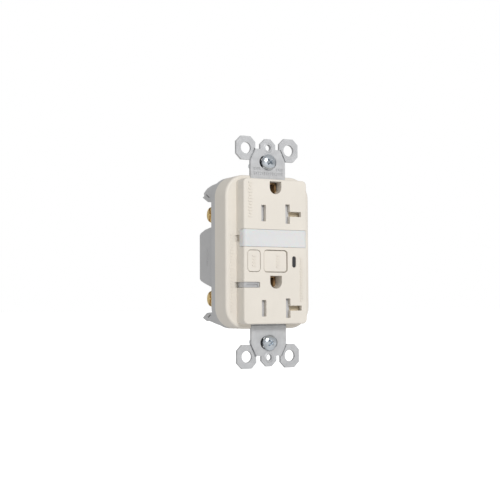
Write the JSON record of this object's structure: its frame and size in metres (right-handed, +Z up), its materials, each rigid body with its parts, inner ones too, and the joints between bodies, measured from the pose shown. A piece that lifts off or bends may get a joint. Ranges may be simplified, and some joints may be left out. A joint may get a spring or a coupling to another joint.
{
  "type": "gfci outlet",
  "caption": "Duplex ground-fault receptacle with night light band, test and reset buttons, T-slot sockets, steel strap with plaster ears and side screw terminals.",
  "frame": {"origin": "midway between the two mounting screws, on the front face of the strap", "axes": "+Z up along the strap, +Y back into the wall box along the mounting screws, +X to the right of a person facing the outlet"},
  "size_m": [0.0442, 0.0363, 0.1066],
  "materials": {
    "cover_plastic": "satin moulded",
    "body_plastic": "satin moulded",
    "strap_steel": "galvanised, matte",
    "lens_plastic": "translucent, frosted",
    "clear_plastic": "clear moulded",
    "dark_plastic": "satin",
    "shutter_plastic": "satin",
    "gate_plastic": "satin",
    "spring_steel": "drawn wire",
    "contact_brass": "stamped",
    "brass_screw": "bright",
    "nickel": "nickel plated",
    "zinc_screw": "zinc plated, bluish",
    "green_screw": "green coated",
    "inner_plastic": "moulded",
    "latch_steel": "stamped",
    "board": "coated laminate",
    "ferrite": "sintered",
    "copper": "enamelled copper winding",
    "varistor_coat": "dipped coating",
    "capacitor_film": "dipped coating",
    "resistor_body": "lacquered",
    "lamp": "clear epoxy"
  },
  "bodies": {
    "outlet": {"capacitors": "capacitor_film", "circuit_board": "board", "contact_holder": "inner_plastic", "control_chip": "dark_plastic", "core_case": "dark_plastic", "diodes": "resistor_body", "front_cover": "cover_plastic", "ground_contact_lower": "contact_brass", "ground_contact_upper": "contact_brass", "hot_contact_strip": "contact_brass", "housing_screws": "zinc_screw", "indicator_lamp": "lamp", "indicator_lens": "dark_plastic", "light_board": "board", "line_hot_terminal": "contact_brass", "line_neutral_terminal": "nickel", "load_hot_terminal": "contact_brass", "load_neutral_terminal": "nickel", "mounting_strap": "strap_steel", "neutral_contact_strip": "contact_brass", "night_light_lamps": "lamp", "night_light_lens": "lens_plastic", "photocell": "dark_plastic", "plunger_spring": "spring_steel", "rear_body": "body_plastic", "reset_spring": "spring_steel", "resistors": "resistor_body", "ring_cores": "ferrite", "screw_retainers": "dark_plastic", "sensor_window": "clear_plastic", "shutter_spring_lower": "spring_steel", "shutter_spring_upper": "spring_steel", "solenoid_bobbin": "inner_plastic", "solenoid_coil": "copper", "solenoid_frame": "latch_steel", "test_contact": "contact_brass", "thyristor": "dark_plastic", "varistor": "varistor_coat"},
    "test_key": {"test_button": "cover_plastic"},
    "reset_key": {"reset_button": "cover_plastic"},
    "latch": {"latch_plate": "latch_steel"},
    "plunger": {"solenoid_plunger": "latch_steel"},
    "carriage": {"contact_carriage": "inner_plastic", "moving_contact_hot": "contact_brass", "moving_contact_neutral": "contact_brass"},
    "upper_shutter": {"shutter_upper": "shutter_plastic"},
    "lower_shutter": {"shutter_lower": "shutter_plastic"},
    "upper_gate": {"side_gate_upper": "gate_plastic"},
    "lower_gate": {"side_gate_lower": "gate_plastic"},
    "ground_screw_body": {"ground_screw": "green_screw"},
    "upper_mounting_screw": {"mounting_screw_upper": "zinc_screw"},
    "lower_mounting_screw": {"mounting_screw_lower": "zinc_screw"},
    "load_hot_screw_body": {"load_hot_screw": "brass_screw"},
    "load_hot_clamp_body": {"load_hot_clamp": "contact_brass"},
    "load_neutral_screw_body": {"load_neutral_screw": "nickel"},
    "load_neutral_clamp_body": {"load_neutral_clamp": "nickel"},
    "line_hot_screw_body": {"line_hot_screw": "brass_screw"},
    "line_hot_clamp_body": {"line_hot_clamp": "contact_brass"},
    "line_neutral_screw_body": {"line_neutral_screw": "nickel"},
    "line_neutral_clamp_body": {"line_neutral_clamp": "nickel"}
  },
  "joints": [
    {"name": "test_press", "type": "slide", "parent": "outlet", "child": "test_key", "axis": [0, 1, 0], "range_m": [0, 0.0012], "stiffness_N_per_m": 800, "springref_m": -0.001},
    {"name": "reset_press", "type": "slide", "parent": "outlet", "child": "reset_key", "axis": [0, 1, 0], "range_m": [0, 0.0018], "stiffness_N_per_m": 1200, "springref_m": -0.001, "deforming": ["reset_spring"]},
    {"name": "trip_plunger", "type": "slide", "parent": "outlet", "child": "plunger", "axis": [1, 0, 0], "range_m": [0, 0.0025], "stiffness_N_per_m": 200, "springref_m": -0.002, "deforming": ["plunger_spring"]},
    {"name": "latch_slide", "type": "slide", "parent": "outlet", "child": "latch", "axis": [1, 0, 0], "range_m": [0, 0.0025]},
    {"name": "carriage_drop", "type": "slide", "parent": "outlet", "child": "carriage", "axis": [0, 1, 0], "range_m": [0, 0.001]},
    {"name": "upper_shutter_slide", "type": "slide", "parent": "outlet", "child": "upper_shutter", "axis": [-1, 0, 0], "range_m": [0, 0.003], "stiffness_N_per_m": 150, "springref_m": -0.002, "deforming": ["shutter_spring_upper"]},
    {"name": "lower_shutter_slide", "type": "slide", "parent": "outlet", "child": "lower_shutter", "axis": [-1, 0, 0], "range_m": [0, 0.003], "stiffness_N_per_m": 150, "springref_m": -0.002, "deforming": ["shutter_spring_lower"]},
    {"name": "upper_gate_slide", "type": "slide", "parent": "outlet", "child": "upper_gate", "axis": [0, 0, -1], "range_m": [0, 0.0026], "stiffness_N_per_m": 150, "springref_m": -0.001},
    {"name": "lower_gate_slide", "type": "slide", "parent": "outlet", "child": "lower_gate", "axis": [0, 0, -1], "range_m": [0, 0.0026], "stiffness_N_per_m": 150, "springref_m": -0.001},
    {"name": "load_hot_screw_turn", "type": "hinge", "parent": "outlet", "child": "load_hot_screw_body", "pos_m": [-0.0192, 0.0178, 0.0179], "axis": [1, 0, 0], "range_deg": [0, 907.1]},
    {"name": "load_hot_clamp_slide", "type": "slide", "parent": "outlet", "child": "load_hot_clamp_body", "axis": [-1, 0, 0], "range_m": [0, 0.002]},
    {"name": "load_neutral_screw_turn", "type": "hinge", "parent": "outlet", "child": "load_neutral_screw_body", "pos_m": [0.0192, 0.0178, 0.0179], "axis": [-1, 0, 0], "range_deg": [0, 907.1]},
    {"name": "load_neutral_clamp_slide", "type": "slide", "parent": "outlet", "child": "load_neutral_clamp_body", "axis": [1, 0, 0], "range_m": [0, 0.002]},
    {"name": "line_hot_screw_turn", "type": "hinge", "parent": "outlet", "child": "line_hot_screw_body", "pos_m": [-0.0192, 0.0178, -0.0213], "axis": [1, 0, 0], "range_deg": [0, 907.1]},
    {"name": "line_hot_clamp_slide", "type": "slide", "parent": "outlet", "child": "line_hot_clamp_body", "axis": [-1, 0, 0], "range_m": [0, 0.002]},
    {"name": "line_neutral_screw_turn", "type": "hinge", "parent": "outlet", "child": "line_neutral_screw_body", "pos_m": [0.0192, 0.0178, -0.0213], "axis": [-1, 0, 0], "range_deg": [0, 907.1]},
    {"name": "line_neutral_clamp_slide", "type": "slide", "parent": "outlet", "child": "line_neutral_clamp_body", "axis": [1, 0, 0], "range_m": [0, 0.002]},
    {"name": "ground_screw_turn", "type": "hinge", "parent": "outlet", "child": "ground_screw_body", "pos_m": [0.00595, 0.0174, -0.038], "axis": [0, 0, 1], "range_deg": [-720, 0]},
    {"name": "upper_mounting_screw_turn", "type": "hinge", "parent": "outlet", "child": "upper_mounting_screw", "pos_m": [0, 0, 0.04167], "axis": [0, 1, 0], "continuous": true},
    {"name": "lower_mounting_screw_turn", "type": "hinge", "parent": "outlet", "child": "lower_mounting_screw", "pos_m": [0, 0, -0.04167], "axis": [0, 1, 0], "continuous": true}
  ],
  "couplings": [
    {"joint": "latch_slide", "follows": "trip_plunger", "ratio": 1},
    {"joint": "carriage_drop", "follows": "trip_plunger", "ratio": 0.4},
    {"joint": "load_hot_screw_turn", "follows": "load_hot_clamp_slide", "rad_per_m": 7915.8},
    {"joint": "load_neutral_screw_turn", "follows": "load_neutral_clamp_slide", "rad_per_m": 7915.8},
    {"joint": "line_hot_screw_turn", "follows": "line_hot_clamp_slide", "rad_per_m": 7915.8},
    {"joint": "line_neutral_screw_turn", "follows": "line_neutral_clamp_slide", "rad_per_m": 7915.8}
  ]
}
